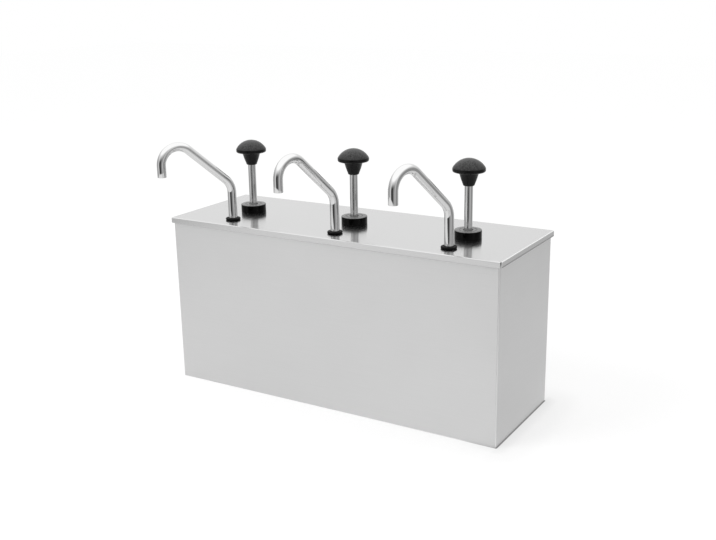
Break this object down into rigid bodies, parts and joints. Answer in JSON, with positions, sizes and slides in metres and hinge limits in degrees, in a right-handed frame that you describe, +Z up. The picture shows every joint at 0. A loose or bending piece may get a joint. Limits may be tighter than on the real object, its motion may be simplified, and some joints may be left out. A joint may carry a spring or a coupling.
{
  "type": "sauce dispenser",
  "caption": "Long brushed steel box with a lift-off lid and a row of plunger sauce pumps, each with a domed black knob and a swivelling bent spout tube.",
  "frame": {"origin": "on the floor, under the middle of the box", "axes": "+X right along the box, front (spout side) at -Y, +Z up"},
  "size_m": [0.5, 0.2473, 0.3527],
  "materials": {
    "brushed_sheet": "fine horizontal brushing",
    "lid_sheet": "fine lengthwise brushing, more reflective",
    "jar_steel": "satin",
    "polished_steel": "polished",
    "spring_steel": "drawn wire",
    "ball_steel": "polished",
    "black_plastic": "moulded, softly glossy",
    "white_plastic": "turned acetal",
    "grey_plastic": "turned acetal",
    "black_rubber": "moulded rubber",
    "silicone": "translucent silicone"
  },
  "bodies": {
    "housing": {"housing_shell": "brushed_sheet", "base_pan": "brushed_sheet", "jar_1": "jar_steel", "jar_2": "jar_steel", "jar_3": "jar_steel"},
    "lid": {"lid": "lid_sheet", "lock_nut_1": "black_plastic", "rod_bush_1": "grey_plastic", "lid_gasket_1": "silicone", "pump_barrel_1": "white_plastic", "valve_body_1": "white_plastic", "inlet_seat_1": "grey_plastic", "outlet_seat_1": "grey_plastic", "spout_grommet_1": "black_rubber", "return_spring_1": "spring_steel", "lock_nut_2": "black_plastic", "rod_bush_2": "grey_plastic", "lid_gasket_2": "silicone", "pump_barrel_2": "white_plastic", "valve_body_2": "white_plastic", "inlet_seat_2": "grey_plastic", "outlet_seat_2": "grey_plastic", "spout_grommet_2": "black_rubber", "return_spring_2": "spring_steel", "lock_nut_3": "black_plastic", "rod_bush_3": "grey_plastic", "lid_gasket_3": "silicone", "pump_barrel_3": "white_plastic", "valve_body_3": "white_plastic", "inlet_seat_3": "grey_plastic", "outlet_seat_3": "grey_plastic", "spout_grommet_3": "black_rubber", "return_spring_3": "spring_steel"},
    "plunger_1": {"knob_1": "black_plastic", "plunger_rod_1": "polished_steel", "stop_ring_1": "spring_steel", "piston_1": "white_plastic", "piston_seal_1": "black_rubber"},
    "spout_1": {"spout_tube_1": "polished_steel", "spout_seal_1": "black_rubber"},
    "suction_ball_1": {"inlet_ball_1": "ball_steel"},
    "discharge_ball_1": {"outlet_ball_1": "ball_steel"},
    "plunger_2": {"knob_2": "black_plastic", "plunger_rod_2": "polished_steel", "stop_ring_2": "spring_steel", "piston_2": "white_plastic", "piston_seal_2": "black_rubber"},
    "spout_2": {"spout_tube_2": "polished_steel", "spout_seal_2": "black_rubber"},
    "suction_ball_2": {"inlet_ball_2": "ball_steel"},
    "discharge_ball_2": {"outlet_ball_2": "ball_steel"},
    "plunger_3": {"knob_3": "black_plastic", "plunger_rod_3": "polished_steel", "stop_ring_3": "spring_steel", "piston_3": "white_plastic", "piston_seal_3": "black_rubber"},
    "spout_3": {"spout_tube_3": "polished_steel", "spout_seal_3": "black_rubber"},
    "suction_ball_3": {"inlet_ball_3": "ball_steel"},
    "discharge_ball_3": {"outlet_ball_3": "ball_steel"}
  },
  "joints": [
    {"name": "lid_lift", "type": "slide", "parent": "housing", "child": "lid", "axis": [0, 0, 1], "range_m": [0, 0.25]},
    {"name": "plunger_1_press", "type": "slide", "parent": "lid", "child": "plunger_1", "axis": [0, 0, -1], "range_m": [0, 0.05], "stiffness_N_per_m": 340, "springref_m": -0.0235, "deforming": ["return_spring_1"]},
    {"name": "spout_1_swivel", "type": "hinge", "parent": "lid", "child": "spout_1", "pos_m": [-0.16295, -0.05711, 0.238], "axis": [0, 0, 1], "range_deg": [-62.5, 117.5]},
    {"name": "suction_ball_1_lift", "type": "slide", "parent": "lid", "child": "suction_ball_1", "axis": [0, 0, 1], "range_m": [0, 0.003]},
    {"name": "discharge_ball_1_lift", "type": "slide", "parent": "lid", "child": "discharge_ball_1", "axis": [0, 0, 1], "range_m": [0, 0.003]},
    {"name": "plunger_2_press", "type": "slide", "parent": "lid", "child": "plunger_2", "axis": [0, 0, -1], "range_m": [0, 0.05], "stiffness_N_per_m": 340, "springref_m": -0.0235, "deforming": ["return_spring_2"]},
    {"name": "spout_2_swivel", "type": "hinge", "parent": "lid", "child": "spout_2", "pos_m": [0.00351, -0.05734, 0.238], "axis": [0, 0, 1], "range_deg": [-79.2, 100.8]},
    {"name": "suction_ball_2_lift", "type": "slide", "parent": "lid", "child": "suction_ball_2", "axis": [0, 0, 1], "range_m": [0, 0.003]},
    {"name": "discharge_ball_2_lift", "type": "slide", "parent": "lid", "child": "discharge_ball_2", "axis": [0, 0, 1], "range_m": [0, 0.003]},
    {"name": "plunger_3_press", "type": "slide", "parent": "lid", "child": "plunger_3", "axis": [0, 0, -1], "range_m": [0, 0.05], "stiffness_N_per_m": 340, "springref_m": -0.0235, "deforming": ["return_spring_3"]},
    {"name": "spout_3_swivel", "type": "hinge", "parent": "lid", "child": "spout_3", "pos_m": [0.16793, -0.05758, 0.238], "axis": [0, 0, 1], "range_deg": [-75.6, 104.4]},
    {"name": "suction_ball_3_lift", "type": "slide", "parent": "lid", "child": "suction_ball_3", "axis": [0, 0, 1], "range_m": [0, 0.003]},
    {"name": "discharge_ball_3_lift", "type": "slide", "parent": "lid", "child": "discharge_ball_3", "axis": [0, 0, 1], "range_m": [0, 0.003]}
  ]
}
